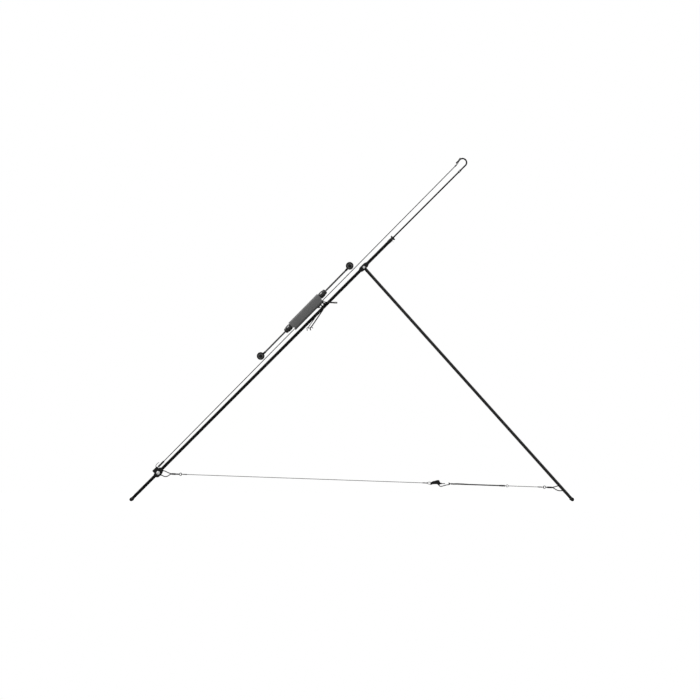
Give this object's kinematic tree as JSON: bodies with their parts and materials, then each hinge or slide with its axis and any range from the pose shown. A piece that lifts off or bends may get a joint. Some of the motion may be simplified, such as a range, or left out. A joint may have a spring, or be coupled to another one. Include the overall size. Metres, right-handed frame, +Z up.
{
  "type": "ice fishing tip up",
  "caption": "Black A-frame tip-up rig: raked telescopic mast with crook tip and guide line, weighted wheeled shuttle with a sprung trigger, folding leg and clip-on stay.",
  "frame": {"origin": "on the ground, midway between the two foot bars, in the mast's plane", "axes": "+Z up; +X from the mast's foot towards the leg's foot; -Y is the near side with the trigger arms"},
  "size_m": [0.8874, 0.188, 0.6865],
  "materials": {
    "tube": "satin",
    "fitting": "matt",
    "rubber": "matt",
    "bolt": "satin",
    "dark_bolt": "satin",
    "crimp": "matt",
    "wire": "satin",
    "line": "braided",
    "cord": "braided",
    "nut": "matt",
    "rod": "satin",
    "body": "satin",
    "ballast": "plain",
    "knob": "gloss",
    "wheel": "satin",
    "trigger": "satin"
  },
  "bodies": {
    "mast": {"mast_tube": "tube", "mast_foot_hub": "fitting", "mast_foot_bar": "tube", "mast_foot_caps": "rubber", "anchor_clamp": "fitting", "anchor_screw": "bolt", "anchor_nut": "bolt", "line_sleeve": "crimp", "line_tag": "wire", "guide_line": "line", "hinge_bracket": "fitting", "bracket_screw": "bolt", "hinge_screw": "bolt", "hinge_washer": "bolt", "lock_collar": "fitting", "collar_pin": "bolt", "stay_mast_loop": "wire", "stay_mast_crimp": "crimp"},
    "rod": {"tip_rod": "rod", "rod_glide": "nut", "rod_ferrule": "fitting", "ferrule_band": "bolt", "tip_crook": "rod", "crook_bead": "nut", "line_crimp": "crimp", "line_eye": "wire"},
    "nut": {"lock_nut": "nut"},
    "leg": {"leg_tube": "tube", "leg_eye": "fitting", "leg_foot_hub": "fitting", "leg_foot_bar": "tube", "leg_foot_caps": "rubber", "stay_leg_loop": "wire", "stay_leg_crimp": "crimp"},
    "long_stay": {"stay_wire": "wire", "stay_crimps": "crimp", "clip_eye": "wire", "clip_body": "nut", "clip_snap": "crimp", "clip_tail": "wire"},
    "short_stay": {"stay_cord": "cord", "cord_crimps": "crimp", "stay_lead": "wire"},
    "shuttle": {"shell_near": "body", "shell_far": "body", "shell_screws": "bolt", "ballast": "ballast", "carrier_rod": "rod", "end_knobs": "knob", "axle_arms": "fitting", "axle_screws": "dark_bolt", "trigger_bracket": "fitting", "keeper_arm": "trigger", "trip_pin": "bolt", "trip_spring": "bolt"},
    "low_wheel": {"wheel_low": "wheel"},
    "high_wheel": {"wheel_high": "wheel"},
    "lever": {"trip_lever": "trigger"}
  },
  "joints": [
    {"name": "rod_slide", "type": "slide", "parent": "mast", "child": "rod", "axis": [0.7071, 0, 0.7071], "range_m": [-0.08, 0], "deforming": ["guide_line"]},
    {"name": "nut_turn", "type": "hinge", "parent": "mast", "child": "nut", "pos_m": [0.07773, 0, 0.5214], "axis": [0.7071, 0, 0.7071], "range_deg": [0, 180]},
    {"name": "leg_fold", "type": "hinge", "parent": "mast", "child": "leg", "pos_m": [0.02399, 0, 0.46766], "axis": [0, 1, 0], "range_deg": [0, 80]},
    {"name": "long_stay_swing", "type": "hinge", "parent": "mast", "child": "long_stay", "pos_m": [-0.34229, 0, 0.0533], "axis": [0, 1, 0], "range_deg": [-46, 0.2]},
    {"name": "short_stay_swing", "type": "hinge", "parent": "leg", "child": "short_stay", "pos_m": [0.38536, 0, 0.02745], "axis": [0, 1, 0], "range_deg": [-0.2, 60.5]},
    {"name": "shuttle_slide", "type": "slide", "parent": "mast", "child": "shuttle", "axis": [0.7026, 0, 0.7116], "range_m": [-0.26, 0.06]},
    {"name": "low_wheel_spin", "type": "hinge", "parent": "shuttle", "child": "low_wheel", "pos_m": [-0.18219, 0, 0.2898], "axis": [0, 1, 0], "continuous": true},
    {"name": "high_wheel_spin", "type": "hinge", "parent": "shuttle", "child": "high_wheel", "pos_m": [-0.00415, 0, 0.47011], "axis": [0, 1, 0], "continuous": true},
    {"name": "lever_trip", "type": "hinge", "parent": "shuttle", "child": "lever", "pos_m": [-0.05503, 0, 0.39724], "axis": [0, 1, 0], "range_deg": [-25, 8], "stiffness_Nm_per_rad": 0.02}
  ],
  "couplings": [
    {"joint": "long_stay_swing", "follows": "leg_fold", "ratio": -0.57},
    {"joint": "short_stay_swing", "follows": "leg_fold", "ratio": 0.75}
  ]
}
